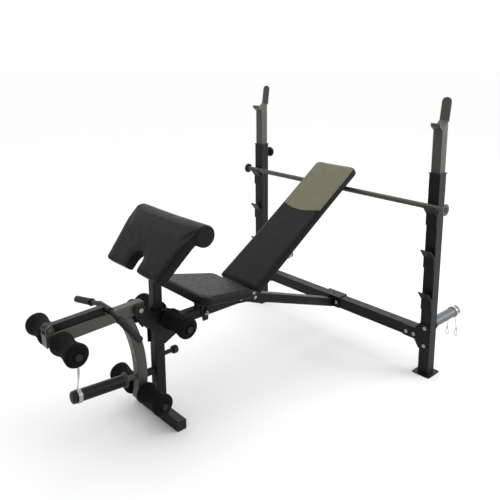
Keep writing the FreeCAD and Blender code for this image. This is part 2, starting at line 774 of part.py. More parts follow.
def arc_band(depth, width):
    """The ring that the curved arm is a short stretch of."""
    ring = cross_rod(dim("arc_radius") + depth / 2, width / 2, ARC_Y, ARC_Z)
    return cut(ring, [cross_rod(dim("arc_radius") - depth / 2, width / 2 + 1, ARC_Y, ARC_Z)])


def stretch(low, high, reach):
    """The part of the ring between two heights under the developer arm."""
    under = arm_point(0, -DIMENSIONS["arm_depth"] / 2)
    tilt = math.tan(math.radians(DIMENSIONS["arm_angle"]))
    near, far = ahead(1180), ahead(1340)
    top = [(y, under.z + tilt * (y.value - under.y) + high) for y in (near, far)]
    return side_profile([(far, low), (near, low), top[0], top[1]], reach)


outer_band = common(arc_band(TURN_DEPTH, dim("arm_width")), stretch(130, 0, 60))
outer_band = rounded(outer_band, 4, lambda edge: edge.Length > 300)
inner_band = common(arc_band(TURN_DEPTH - 2 * arm_wall, dim("arm_width") - 2 * arm_wall),
                    stretch(120, 10, 60))
LOWER_SHAFT = (ahead(dim("lower_shaft_ahead")), dim("lower_shaft_height"))
node("curved_arm", cut(outer_band, [inner_band, cross_rod(dim("shaft_radius"), 40, *LOWER_SHAFT)]))

shaft_and_rollers("lower", "developer", *LOWER_SHAFT)
shaft_and_rollers("front", "developer", ahead(dim("front_shaft_ahead")), dim("front_shaft_height"))

SLEEVE_RISE = math.radians(DIMENSIONS["sleeve_angle"])
SLEEVE_WAY = Vector(0, -math.cos(SLEEVE_RISE), math.sin(SLEEVE_RISE))
SLEEVE_TURN = turn_to(SLEEVE_WAY)
SLEEVE_BASE = (0, ahead(dim("sleeve_ahead")), dim("sleeve_height"))
neck = rod(11, 56, (0, 0, -56), "z")
sleeve_flange = rod(32, 4, (0, 0, 0), "z")
sleeve_tube = rod(dim("peg_radius"), dim("sleeve_length"), (0, 0, 4), "z")
sleeve = place(fuse([neck, sleeve_flange, sleeve_tube]), SLEEVE_BASE, SLEEVE_TURN)
node("weight_sleeve", cut(sleeve, [arc_band(TURN_DEPTH, dim("arm_width") + 20)]))
tip = [(0, 0), (dim("peg_radius"), 0), (dim("peg_radius"), 3), (21, 6), (12, 8), (0, 8)]
sleeve_end = SLEEVE_TURN.multVec(Vector(0, 0, DIMENSIONS["sleeve_length"] + 4))
node("sleeve_cap", revolved(tip, (0, SLEEVE_BASE[1] + sleeve_end.y, SLEEVE_BASE[2] + sleeve_end.z),
                            SLEEVE_TURN))


# ---------------------------------------------------------------- curl bar
CURL_Y = ahead(dim("curl_ahead"))
CURL_Z = dim("curl_height")
CURL_BASE = (0, CURL_Y, CURL_Z)
clevis_x = ear_x + 5
node("clevis_pin", fuse([cross_rod(5, clevis_x, CURL_Y, CURL_Z),
                         rod(8, 5, (clevis_x, CURL_Y, CURL_Z)),
                         rod(8, 5, (-clevis_x - 5, CURL_Y, CURL_Z))]))

CURL_HALF = dim("curl_tube") / 2
stem = tube(dim("curl_tube"), dim("curl_tube"), 2, dim("curl_reach") - 19, (0, 10, 0), "y", 2)
lug = cross_rod(CURL_HALF, CURL_HALF, 0, 0)
stem_block = fuse([lug, slab(CURL_HALF, 0, 12, -CURL_HALF, CURL_HALF)])
tee = cross_rod(dim("grip_radius"), 45, dim("curl_reach"), 4)
stem_solid = cut(fuse([stem_block, stem]), [cross_rod(5 + RUN, 30, 0, 0)])
stem_and_tee = cut(fuse([stem_solid, tee]), [cross_rod(dim("curl_bar_radius"), 50,
                                                       dim("curl_reach"), 4)])
node("curl_stem", place(stem_and_tee, CURL_BASE, ARM_TURN))

droop = FreeCAD.Rotation(Vector(0, 1, 0), DIMENSIONS["grip_droop"])
tee_spot = (0, dim("curl_reach"), 4)
elbow = (dim("elbow_x"), dim("curl_reach"), 4)
grip_axis = droop.multiply(TURNS["x"])
grip_start = 62
bar_solid = fuse([cross_rod(dim("curl_bar_radius"), dim("elbow_x"), dim("curl_reach"), 4)]
                 + [ball(dim("curl_bar_radius"), (s * dim("elbow_x"), dim("curl_reach"), 4))
                    for s in (1, -1)]
                 + [place(rod(dim("curl_bar_radius"), dim("grip_end") - 5, elbow), elbow, grip_axis)]
                 + [mirrored(place(rod(dim("curl_bar_radius"), dim("grip_end") - 5, elbow), elbow,
                                   grip_axis))])
node("curl_bar", place(bar_solid, CURL_BASE, ARM_TURN))
grip_base = droop.multVec(Vector(grip_start, 0, 0))
grip = revolved([(dim("curl_bar_radius"), 0), (dim("grip_radius") + 2, 0),
                 (dim("grip_radius") + 2, 4), (dim("grip_radius"), 6),
                 (dim("grip_radius"), dim("grip_end") - grip_start),
                 (0, dim("grip_end") - grip_start), (0, dim("grip_end") - grip_start - 5),
                 (dim("curl_bar_radius"), dim("grip_end") - grip_start - 5)],
                (elbow[0] + grip_base.x, elbow[1], elbow[2] + grip_base.z), grip_axis)
node("curl_grips", place(pair(grip), CURL_BASE, ARM_TURN))

# ---------------------------------------------------------------- backrest
BACK_BASE = (0, BACK_Y, BACK_Z)
FOAM = dim("cushion_foam")
BOARD = dim("cushion_board")


def cushion_outline(rear_half, front_half, length, inset=0):
    """A four-sided cushion in its own plane; it runs from 0 to the length along Y."""
    return [(-rear_half + inset, inset), (rear_half - inset, inset),
            (front_half - inset, length - inset), (-front_half + inset, length - inset)]


def corners_rounded(piece, low_radius, high_radius):
    """Round a flat layer's corners, those at its lower Y and those at its higher Y."""
    doc.recompute()
    middle = piece.Shape.BoundBox.Center.y
    for radius, sign in ((low_radius, -1), (high_radius, 1)):

        def picked(edge, sign=sign):
            return along((0, 0, 1), 3)(edge) and sign * (edge.CenterOfMass.y - middle) > 0

        piece = rounded(piece, radius, picked)
    return piece


back_foam = padded("XY_Plane", [cushion_outline(dim("back_half"), dim("back_half"),
                                                dim("back_length"))], FOAM)
node("back_cushion", place(corners_rounded(place(back_foam, (0, 0, -FOAM)), 10, 26), BACK_BASE,
                           BACK_TURN))
back_board = padded("XY_Plane", [cushion_outline(dim("back_half"), dim("back_half"),
                                                 dim("back_length"), 4)], BOARD)
node("back_board", place(corners_rounded(place(back_board, (0, 0, -FOAM - BOARD)), 8, 22), BACK_BASE,
                         BACK_TURN))
rail_top = -FOAM - BOARD
rail_z = rail_top - dim("rail_depth") / 2
rail_shell = tube(dim("rail_width"), dim("rail_depth"), WALL, dim("back_length") - 60,
                  (dim("rail_x"), -10, rail_z), "y", 3)
rail = cut(rail_shell, [rod(5 + RUN, 60, (dim("rail_x") - 30, hinge_local.y, rail_z))])
node("back_rails", place(pair(rail), BACK_BASE, BACK_TURN))
rail_half_w = dim("rail_width") / 2
rail_out = dim("rail_x") + rail_half_w
gather("cross_bolts", fuse([cross_rod(5, rail_out + 2, HINGE_Y, HINGE_Z),
                              rod(8.5, 6, (rail_out + 2, HINGE_Y, HINGE_Z)),
                              rod(8.5, 6, (-rail_out - 8, HINGE_Y, HINGE_Z))]))

# ---------------------------------------------------------------- seat
SEAT_TURN = about_x(-DIMENSIONS["seat_angle"])
SEAT_BASE = (0, ahead(dim("seat_ahead")), dim("seat_rear_height"))
SEAT_FOAM = dim("seat_foam")


def seat_layer(thickness, low, inset, radius):
    """One layer of the seat; its wide end is at the front, which is the -Y end."""
    length = dim("seat_length")
    outline = [(-dim("seat_rear_half") + inset, -inset), (-dim("seat_front_half") + inset, inset - length),
               (dim("seat_front_half") - inset, inset - length), (dim("seat_rear_half") - inset, -inset)]
    layer = place(padded("XY_Plane", [outline], thickness), (0, 0, low))
    return place(corners_rounded(layer, radius, 14), SEAT_BASE, SEAT_TURN)


node("seat_cushion", seat_layer(SEAT_FOAM, -SEAT_FOAM, 0, 45))
node("seat_board", seat_layer(BOARD, -SEAT_FOAM - BOARD, 4, 41))


def seat_under(distance, below=0):
    """Y and Z under the seat board, this far from its rear edge and below its face."""
    down = DIMENSIONS["seat_foam"] + DIMENSIONS["cushion_board"] + below
    spot = SEAT_TURN.multVec(Vector(0, -distance, -down))
    return (SEAT_BASE[1] + spot.y, SEAT_BASE[2] + spot.z)


bracket_x = HALF + GAP
leg_foot = 371
bracket_outline = [seat_under(2), seat_under(2, 20), (SEAT_HINGE[0], SEAT_HINGE[1] - 13),
                   (SEAT_HINGE[0] - 14, SEAT_HINGE[1] - 8), seat_under(60, 18),
                   seat_under(150, 18), (CLAMP_Y + 12, leg_foot), (CLAMP_Y - 16, leg_foot),
                   seat_under(205, 18), seat_under(260, 18), seat_under(270)]
seat_bracket = side_plate(bracket_outline, bracket_x, 5)
clamp_slot = [rod(6.2, 12, (bracket_x - 3, CLAMP_Y, CLAMP_BOLT_Z)),
              rod(6.2, 12, (bracket_x - 3, CLAMP_Y - 4.7, CLAMP_BOLT_Z + 32.3)),
              place(box((12, 12.4, 32.6), (0, 0, 0)),
                    (bracket_x - 3, CLAMP_Y - 6.2, CLAMP_BOLT_Z - 0.8), about_x(8.3)),
              rod(5 + RUN, 12, (bracket_x - 3, *SEAT_HINGE))]
flange_plate = place(group([box((25, 258, 4), (bracket_x, -264, -SEAT_FOAM - BOARD - 4))]),
                     SEAT_BASE, SEAT_TURN)
node("seat_brackets", pair(fuse([cut(seat_bracket, clamp_slot), flange_plate])))
bracket_out = bracket_x + 5 + GAP
gather("cross_bolts", fuse([cross_rod(5, bracket_out, *SEAT_HINGE),
                              rod(8, 5, (bracket_out, *SEAT_HINGE)),
                              rod(8, 5, (-bracket_out - 5, *SEAT_HINGE))]))
gather("cross_bolts", fuse([cross_rod(5, bracket_out, CLAMP_Y, CLAMP_BOLT_Z),
                              rod(9.5, 7, (bracket_out, CLAMP_Y, CLAMP_BOLT_Z)),
                              rod(5, 16, (bracket_out, CLAMP_Y, CLAMP_BOLT_Z)),
                              rod(9.5, 7, (-bracket_out - 7, CLAMP_Y, CLAMP_BOLT_Z))]))

# ---------------------------------------------------------------- preacher pad
PAD_TURN = about_x(DIMENSIONS["preacher_angle"])
PAD_BASE = (0, ahead(dim("preacher_ahead")), dim("preacher_low"))
PAD_FOAM = dim("preacher_thick") - dim("preacher_board")
PAD_BOARD = dim("preacher_board")


def preacher_layer(thickness, low, inset, length, wide_half):
    """One layer of the arm pad with its chest notch left out."""
    base = padded("XY_Plane", [cushion_outline(dim("preacher_low_half"), wide_half, length, inset)],
                  thickness)
    layer = corners_rounded(place(base, (0, 0, low)), 12, 12)
    half = dim("notch_width") / 2 + inset
    notch = [slab(half, -1, dim("notch_depth") - half, low - 1, low + thickness + 1),
             rod(half, thickness + 2, (0, dim("notch_depth") - half + inset, low - 1), "z")]
    return cut(layer, notch)


pad_face = dim("preacher_face")
pad_foam = preacher_layer(PAD_FOAM, -PAD_FOAM, 0, pad_face, dim("preacher_top_half"))
roll_top = dim("roll_radius") - dim("roll_drop")
slope = side_profile([(pad_face - 75, 0), (pad_face + 1, roll_top), (pad_face + 1, 5), (pad_face - 75, 5)],
                     2 * dim("preacher_top_half") + 20)
pad_foam = cut(pad_foam, [slope])
roll = cross_rod(dim("roll_radius"), dim("preacher_top_half"), pad_face, -dim("roll_drop"))
board_length = pad_face - dim("roll_radius") - 4
pad_board = preacher_layer(PAD_BOARD, -dim("preacher_thick"), 5, board_length,
                           dim("preacher_top_half") - 9)
roll = cut(roll, [slab(300, 0, board_length + 2, -dim("preacher_thick") - 60, -PAD_FOAM)])
node("preacher_cushion", place(fuse([pad_foam, roll]), PAD_BASE, PAD_TURN))
node("preacher_board", place(pad_board, PAD_BASE, PAD_TURN))
inner = dim("inner_post")
post_tube = tube(inner, inner, WALL, 560, (0, POST_Y, dim("inner_post_bottom")), "z", 3)
above = place(group([slab(120, -50, 300, -dim("preacher_thick") - 5, 160)]), PAD_BASE, PAD_TURN)
post_local = (dim("preacher_ahead") - dim("post_ahead")) / math.cos(math.radians(
    DIMENSIONS["preacher_angle"]))
plate_mid = post_local.value - DIMENSIONS["preacher_thick"] * math.tan(math.radians(
    DIMENSIONS["preacher_angle"]))
mount = slab(70, plate_mid - 35, plate_mid + 45, -dim("preacher_thick") - 5, -dim("preacher_thick"))
mount = place(group([mount]), PAD_BASE, PAD_TURN)
node("preacher_post", fuse([cut(post_tube, [above]), mount]))
mount_bolts = [rod(6.5, 4, (x, y, -dim("preacher_thick") - 9), "z")
               for x in (-55, 55) for y in (plate_mid - 22, plate_mid + 32)]
node("preacher_mount_bolts", place(group(mount_bolts), PAD_BASE, PAD_TURN))
post_nut_z = dim("post_knob_height")
gather("clamp_nuts", clamp_nut(0, POST_REAR, post_nut_z))
post_knob = [(0, 0), (5, 0), (5, 15), (9.5, 15), (9.5, 50), (17, 52), (18, 56), (18, 70), (15, 75),
             (0, 76)]
node("post_clamp_knob",
     revolved(post_knob, (0, POST_Y + inner / 2 + GAP, post_nut_z), turn_to((0, 1, 0))))


# ---------------------------------------------------------------- spring collars
def collar(label, centre, turn):
    """A wire clip round a 50 mm sleeve; its own Z is the sleeve's and its own X the handles'."""
    ring = cut(rod(dim("peg_radius") + 5, 22, (0, 0, -11), "z"),
               [rod(dim("peg_radius") + RUN, 24, (0, 0, -12), "z")])
    handles = []
    for s in (1, -1):
        start, end = (26.5, 12 * s, 7 * s), (132, 24 * s, 7 * s)
        way = Vector(*[e - b for b, e in zip(start, end)])
        wire = rod(2.5, way.Length, start)
        place(wire, start, FreeCAD.Rotation(Vector(0, 0, 1), way))
        handles.append(wire)
    return node(label, place(fuse([ring] + handles), centre, turn))


for side, sign in (("left", 1), ("right", -1)):
    collar(f"{side}_peg_collar",
           (sign * dim("upright_x"), REAR_FACE + dim("peg_length") - 24, dim("peg_height")),
           FreeCAD.Rotation(Vector(0, 0, -sign), Vector(-sign, 0, 0), Vector(0, 1, 0), "ZXY"))
spot = SLEEVE_TURN.multVec(Vector(0, 0, DIMENSIONS["sleeve_length"] - 16))
collar("sleeve_collar", (0, SLEEVE_BASE[1] + spot.y, SLEEVE_BASE[2] + spot.z),
       FreeCAD.Rotation(Vector(0, 0, 1), Vector(1, 0, 0), SLEEVE_WAY, "ZXY"))

# ---------------------------------------------------------------- check and write
for label, pieces in gathered.items():
    node(label, group(pieces))
doc.recompute()
for obj in doc.Objects:
    if "Invalid" in obj.State or "Error" in obj.State:
        raise RuntimeError(f"{obj.Label}: {obj.State}")
for label, obj in nodes.items():
    if obj.Shape.isNull() or not obj.Shape.isValid() or not obj.Shape.Solids:
        raise RuntimeError(f"{label} has no sound solid")
os.makedirs("parts", exist_ok=True)
for label, obj in nodes.items():
    obj.Shape.exportStep(f"parts/{label}.step")
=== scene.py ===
import json
import math

import bmesh
import bpy
from mathutils import Matrix, Vector, noise
from mathutils.bvhtree import BVHTree


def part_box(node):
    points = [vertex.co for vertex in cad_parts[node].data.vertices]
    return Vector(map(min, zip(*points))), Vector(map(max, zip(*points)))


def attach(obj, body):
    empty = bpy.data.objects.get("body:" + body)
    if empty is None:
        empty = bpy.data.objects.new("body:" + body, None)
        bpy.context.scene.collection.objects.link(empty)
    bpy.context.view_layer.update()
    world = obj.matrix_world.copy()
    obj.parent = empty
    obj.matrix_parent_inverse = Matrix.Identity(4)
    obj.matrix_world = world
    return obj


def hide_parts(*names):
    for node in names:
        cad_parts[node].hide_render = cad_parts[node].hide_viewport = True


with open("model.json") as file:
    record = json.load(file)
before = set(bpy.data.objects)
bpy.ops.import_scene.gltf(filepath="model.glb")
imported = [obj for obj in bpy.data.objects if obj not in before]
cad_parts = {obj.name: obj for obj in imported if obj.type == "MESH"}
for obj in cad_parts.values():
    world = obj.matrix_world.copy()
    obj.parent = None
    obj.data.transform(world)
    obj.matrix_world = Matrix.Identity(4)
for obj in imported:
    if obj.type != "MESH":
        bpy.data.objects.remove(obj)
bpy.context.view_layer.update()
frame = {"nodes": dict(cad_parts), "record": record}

scene = bpy.context.scene
record = frame["record"]
MM = 0.001


# ---------------------------------------------------------------- materials
class Shader:
    """A procedural material: a Principled shader with nodes that vary its colour, gloss and relief."""

    def __init__(self, name, **uniform):
        self.material = bpy.data.materials.new(name)
        self.material.use_nodes = True
        self.tree = self.material.node_tree
        self.tree.nodes.clear()
        self.out = self.tree.nodes.new("ShaderNodeOutputMaterial")
        self.shader = self.tree.nodes.new("ShaderNodeBsdfPrincipled")
        self.tree.links.new(self.shader.outputs[0], self.out.inputs[0])
        self.place = self.tree.nodes.new("ShaderNodeTexCoord").outputs["Object"]
        self.normal = None
        for socket, value in uniform.items():
            self.shader.inputs[socket.replace("_", " ")].default_value = value

    def link(self, source, target):
        self.tree.links.new(source, target)

    def noise(self, scale, detail=4.0, rough=0.55, stretch=None, distort=0.0):
        node = self.tree.nodes.new("ShaderNodeTexNoise")
        node.inputs["Scale"].default_value = scale
        node.inputs["Detail"].default_value = detail
        node.inputs["Roughness"].default_value = rough
        node.inputs["Distortion"].default_value = distort
        self.link(self.stretched(stretch), node.inputs["Vector"])
        return node.outputs["Fac"]

    def stretched(self, factors):
        if factors is None:
            return self.place
        node = self.tree.nodes.new("ShaderNodeMapping")
        node.inputs["Scale"].default_value = factors
        self.link(self.place, node.inputs["Vector"])
        return node.outputs["Vector"]

    def cells(self, scale, feature="F1"):
        node = self.tree.nodes.new("ShaderNodeTexVoronoi")
        node.feature = feature
        node.inputs["Scale"].default_value = scale
        self.link(self.place, node.inputs["Vector"])
        return node.outputs["Distance"]

    def remap(self, source, low, high, to_low, to_high):
        node = self.tree.nodes.new("ShaderNodeMapRange")
        for index, value in enumerate((low, high, to_low, to_high), start=1):
            node.inputs[index].default_value = value
        self.link(source, node.inputs[0])
        return node.outputs[0]

    def blend(self, factor, first, second):
        node = self.tree.nodes.new("ShaderNodeMix")
        node.data_type = "RGBA"
        self.link(factor, node.inputs["Factor"])
        for socket, value in ((node.inputs[6], first), (node.inputs[7], second)):
            if isinstance(value, tuple):
                socket.default_value = (*value, 1)
            else:
                self.link(value, socket)
        return node.outputs[2]

    def colour(self, source):
        self.link(source, self.shader.inputs["Base Color"])
        return self

    def gloss(self, source):
        self.link(source, self.shader.inputs["Roughness"])
        return self

    def metal(self, source):
        self.link(source, self.shader.inputs["Metallic"])
        return self

    def edges(self, radius):
        """Soften hard edges by this radius."""
        node = self.tree.nodes.new("ShaderNodeBevel")
        node.samples = 4
        node.inputs["Radius"].default_value = radius
        self.normal = node.outputs[0]
        self.link(self.normal, self.shader.inputs["Normal"])
        return self

    def relief(self, height, depth, strength=1.0):
        """Raise the surface by a texture, this deep in metres."""
        node = self.tree.nodes.new("ShaderNodeBump")
        node.inputs["Strength"].default_value = strength
        node.inputs["Distance"].default_value = depth
        self.link(height, node.inputs["Height"])
        if self.normal is not None:
            self.link(self.normal, node.inputs["Normal"])
        self.normal = node.outputs[0]
        self.link(self.normal, self.shader.inputs["Normal"])
        return self

    def position(self, axis):
        node = self.tree.nodes.new("ShaderNodeSeparateXYZ")
        self.link(self.place, node.inputs[0])
        return node.outputs[axis]

    def calc(self, operation, first, second=0.0):
        node = self.tree.nodes.new("ShaderNodeMath")
        node.operation = operation
        for socket, value in zip(node.inputs, (first, second)):
            if isinstance(value, (int, float)):
                socket.default_value = value
            else:
                self.link(value, socket)
        return node.outputs[0]


def powder_coat(name, dark, light, gloss=0.42):
    """Fine orange-peel powder coat with a little dust and wear in its colour."""
    s = Shader(name, Specular_IOR_Level=0.16)
    s.edges(1.2 * MM)
    dust = s.remap(s.noise(9, 6), 0.35, 0.75, 0.0, 1.0)
    s.colour(s.blend(dust, dark, light))
    s.gloss(s.remap(s.noise(38, 5), 0.3, 0.7, gloss - 0.07, gloss + 0.09))
    s.relief(s.noise(620, 2), 0.10 * MM, 0.55)
    s.relief(s.noise(45, 2), 0.25 * MM, 0.25)
    return s.material


def metallic_paint(name, dark, light):
    s = Shader(name, Specular_IOR_Level=0.3, Coat_Weight=0.1, Coat_Roughness=0.3)
    s.edges(1.2 * MM)
    flake = s.remap(s.cells(1500), 0.1, 0.7, 1.0, 0.0)
    cloud = s.noise(14, 4)
    mixed = s.calc("ADD", s.calc("MULTIPLY", flake, 0.45), s.calc("MULTIPLY", cloud, 0.6))
    s.colour(s.blend(mixed, dark, light))
    s.metal(s.remap(flake, 0, 1, 0.25, 0.6))
    s.gloss(s.remap(s.noise(60, 4), 0.3, 0.7, 0.38, 0.52))
    s.relief(s.noise(500, 2), 0.08 * MM, 0.4)
    return s.material


def plated(name, low, high, gloss_low, gloss_high, stretch=None):
    s = Shader(name, Metallic=1.0)
    s.edges(0.5 * MM)
    s.colour(s.blend(s.noise(120, 5, stretch=stretch), low, high))
    s.gloss(s.remap(s.noise(240, 5, stretch=stretch), 0.3, 0.7, gloss_low, gloss_high))
    s.relief(s.noise(700, 2, stretch=stretch), 0.04 * MM, 0.4)
    return s.material


def moulded(name, dark, light, gloss=0.5, grain=900):
    s = Shader(name, Specular_IOR_Level=0.2)
    s.edges(0.8 * MM)
    s.colour(s.blend(s.noise(25, 5), dark, light))
    s.gloss(s.remap(s.noise(70, 4), 0.3, 0.7, gloss - 0.06, gloss + 0.1))
    s.relief(s.cells(grain), 0.08 * MM, 0.5)
    return s.material


def vinyl(name, dark, light, gloss=0.46, second=None):
    """Grained upholstery vinyl; second is a function that gives a mask and a second pair of colours."""
    s = Shader(name, Specular_IOR_Level=0.11)
    base = s.blend(s.noise(22, 6), dark, light)
    if second is not None:
        mask, other_dark, other_light = second(s)
        base = s.blend(mask, base, s.blend(s.noise(20, 6), other_dark, other_light))
    grain = s.cells(640, "SMOOTH_F1")
    crease = s.noise(260, 3)
    s.colour(base)
    s.gloss(s.remap(s.noise(55, 4), 0.3, 0.7, gloss - 0.06, gloss + 0.1))
    s.relief(grain, 0.30 * MM, 0.55)
    s.relief(crease, 0.25 * MM, 0.35)
    s.relief(s.noise(18, 3), 2.0 * MM, 0.22)
    return s.material


def foam_rubber(name):
    s = Shader(name, Specular_IOR_Level=0.08)
    s.colour(s.blend(s.noise(300, 4), (0.0022, 0.0022, 0.0021), (0.0055, 0.0055, 0.0052)))
    s.gloss(s.remap(s.noise(90, 4), 0.3, 0.7, 0.72, 0.95))
    s.relief(s.cells(900), 0.5 * MM, 0.6)
    s.relief(s.noise(120, 4), 0.8 * MM, 0.35)
    return s.material


def woven(name, dark, light):
    """Black back cloth: two crossed waves."""
    s = Shader(name, Specular_IOR_Level=0.2)
    threads = 5200.0
    weave = [s.calc("SINE", s.calc("MULTIPLY", s.position(axis), threads)) for axis in (0, 1)]
    height = s.calc("MULTIPLY", weave[0], weave[1])
    # The colour follows the weave height, darker in the dips between the threads and lighter on their
    # crowns: painted shade and painted highlight.
    s.colour(s.blend(s.remap(height, -1, 1, 0, 1), dark, light))
    s.gloss(s.remap(s.noise(50), 0.3, 0.7, 0.8, 0.95))
    s.relief(height, 0.15 * MM, 0.5)
    return s.material


COAT_DARK, COAT_LIGHT = (0.0030, 0.0032, 0.0033), (0.0062, 0.0064, 0.0065)
GREY_DARK, GREY_LIGHT = (0.040, 0.041, 0.035), (0.068, 0.069, 0.059)
VINYL_DARK, VINYL_LIGHT = (0.0028, 0.0031, 0.0025), (0.0050, 0.0054, 0.0044)
BLACK = powder_coat("satin_black_coat", COAT_DARK, COAT_LIGHT)
GREY = metallic_paint("grey_metallic", GREY_DARK, GREY_LIGHT)
ZINC = plated("zinc", (0.24, 0.235, 0.21), (0.36, 0.355, 0.32), 0.30, 0.45)
CHROME = plated("chrome", (0.34, 0.33, 0.30), (0.52, 0.51, 0.47), 0.14, 0.26)
PLASTIC = moulded("moulded_plastic", (0.006, 0.006, 0.006), (0.010, 0.010, 0.010))
RUBBER = moulded("rubber", (0.0055, 0.0055, 0.0052), (0.0095, 0.0095, 0.009), 0.68, 700)
FOAM = foam_rubber("closed_cell_foam")
VINYL = vinyl("upholstery_vinyl", VINYL_DARK, VINYL_LIGHT)
CLOTH = woven("back_cloth", (0.004, 0.004, 0.004), (0.011, 0.011, 0.011))
SLOTS = {
    "black_powder_coat": BLACK,
    "grey_paint": GREY,
    "zinc_plate": ZINC,
    "chrome_wire": CHROME,
    "black_plastic": PLASTIC,
    "black_rubber": RUBBER,
    "foam_rubber": FOAM,
    "black_vinyl": VINYL,
    "board": CLOTH,
}


def sleeve_paint():
    """The weight sleeve: black tube, with its neck and flange painted grey like the arm."""
    neck_length = 60 * MM
    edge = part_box("weight_sleeve")[1].y - neck_length
    s = Shader("sleeve_paint", Specular_IOR_Level=0.16)
    s.edges(1.0 * MM)
    mask = s.remap(s.position("Y"), edge - 0.0005, edge + 0.0005, 0.0, 1.0)
    tube = s.blend(s.noise(12, 5), COAT_DARK, COAT_LIGHT)
    neck = s.blend(s.noise(14, 4), GREY_DARK, GREY_LIGHT)
    s.colour(s.blend(mask, tube, neck))
    s.gloss(s.remap(s.noise(60, 4), 0.3, 0.7, 0.36, 0.5))
    s.relief(s.noise(560, 2), 0.10 * MM, 0.5)
    return s.material


for entry in record["subparts"]:
    obj = frame["nodes"][entry["node"]]
    obj.data.materials.clear()
    obj.data.materials.append(SLOTS[entry["material_slot"]])
frame["nodes"]["weight_sleeve"].data.materials[0] = sleeve_paint()
# The pegs' black coat is drawn in a lighter blue-grey metallic colour: painted sheen, the bluish sheen
# of light on them put into the colour.
PEG_PAINTED_SHEEN = metallic_paint("blue_grey_painted_sheen", (0.062, 0.066, 0.080), (0.096, 0.102, 0.122))
frame["nodes"]["plate_pegs"].data.materials[0] = PEG_PAINTED_SHEEN


# ---------------------------------------------------------------- mesh helpers
def link(name, mesh, material):
    obj = bpy.data.objects.new(name, mesh)
    scene.collection.objects.link(obj)
    mesh.materials.clear()
    mesh.materials.append(material)
    return obj


def smooth(mesh):
    mesh.polygons.foreach_set("use_smooth", [True] * len(mesh.polygons))
    mesh.update()


def applied(obj):
    """Make the object's modifiers part of its mesh."""
    graph = bpy.context.evaluated_depsgraph_get()
    mesh = bpy.data.meshes.new_from_object(obj.evaluated_get(graph))
    obj.modifiers.clear()
    old, obj.data = obj.data, mesh
    bpy.data.meshes.remove(old)
    return obj


def rounded_loop(corners, step=0.006):
    """A closed outline from (x, y, corner radius) corners, with arcs at the corners."""
    loop = []
    count = len(corners)
    for i, (x, y, radius) in enumerate(corners):
        here = Vector((x, y))
        back = (Vector(corners[i - 1][:2]) - here).normalized()
        on = (Vector(corners[(i + 1) % count][:2]) - here).normalized()
        half = back.angle(on) / 2
        reach = radius / math.tan(half)
        start, end = here + back * reach, here + on * reach
        centre = here + (back + on).normalized() * (radius / math.sin(half))
        turn = math.pi - 2 * half
        steps = max(2, int(radius * turn / step) + 1)
        for k in range(steps + 1):
            t = k / steps
            spoke = (start - centre).lerp(end - centre, t)
            loop.append(centre + spoke.normalized() * radius)
    dense = []
    for i, point in enumerate(loop):
        following = loop[(i + 1) % len(loop)]
        parts = max(1, int((following - point).length / (step * 3)))
        dense += [point.lerp(following, k / parts) for k in range(parts)]
    return dense


def prism(loop, low, high):
    """A closed solid between two heights over an outline."""
    mesh = bmesh.new()
    rings = [[mesh.verts.new((p.x, p.y, z)) for p in loop] for z in (low, high)]
    count = len(loop)
    mesh.faces.new(rings[0][::-1])
    mesh.faces.new(rings[1])
    for i in range(count):
        j = (i + 1) % count
        mesh.faces.new((rings[0][i], rings[0][j], rings[1][j], rings[1][i]))
    return mesh


def to_object(name, shells, material):
    data = bpy.data.meshes.new(name)
    whole = bmesh.new()
    for shell in shells:
        piece = bpy.data.meshes.new("piece")
        shell.to_mesh(piece)
        shell.free()
        whole.from_mesh(piece)
        bpy.data.meshes.remove(piece)
    bmesh.ops.recalc_face_normals(whole, faces=whole.faces)
    whole.to_mesh(data)
    whole.free()
    return link(name, data, material)


def inflate(obj, held, cap, pressure=4.0, frames=12):
    """Blow the cover up like a stuffed pad; held picks the points that stay on the board."""
    group = obj.vertex_groups.new(name="held")
    group.add([v.index for v in obj.data.vertices if held(v.co)], 1.0, "REPLACE")
    start = [v.co.copy() for v in obj.data.vertices]
    cloth = obj.modifiers.new("cloth", "CLOTH")
    settings = cloth.settings
    settings.quality = 3
    settings.mass = 0.4
    settings.tension_stiffness = 25
    settings.compression_stiffness = 12
    settings.shear_stiffness = 10
    settings.bending_stiffness = 4.0
    settings.use_pressure = True
    settings.uniform_pressure_force = pressure
    settings.vertex_group_mass = group.name
    settings.effector_weights.gravity = 0
    cloth.point_cache.frame_start = 1
    cloth.point_cache.frame_end = frames
    for number in range(1, frames + 1):
        scene.frame_set(number)
    graph = bpy.context.evaluated_depsgraph_get()
    moved = [v.co.copy() for v in obj.evaluated_get(graph).data.vertices]
    obj.modifiers.clear()
    obj.vertex_groups.clear()
    for vertex, before, after in zip(obj.data.vertices, start, moved):
        shift = after - before
        if shift.length > cap:
            shift = shift.normalized() * cap
        vertex.co = before + shift
    scene.frame_set(1)


def pull_in(mesh, low, high, amount):
    """Draw the four sides in between the corners, as a stretched cover does."""
    centre, half = (low + high) / 2, (high - low) / 2
    for vertex in mesh.vertices:
        u = (vertex.co.x - centre.x) / half.x
        v = (vertex.co.y - centre.y) / half.y
        vertex.co.x -= amount * u * max(0.0, 1 - v * v)
        vertex.co.y -= amount * 0.8 * v * max(0.0, 1 - u * u)


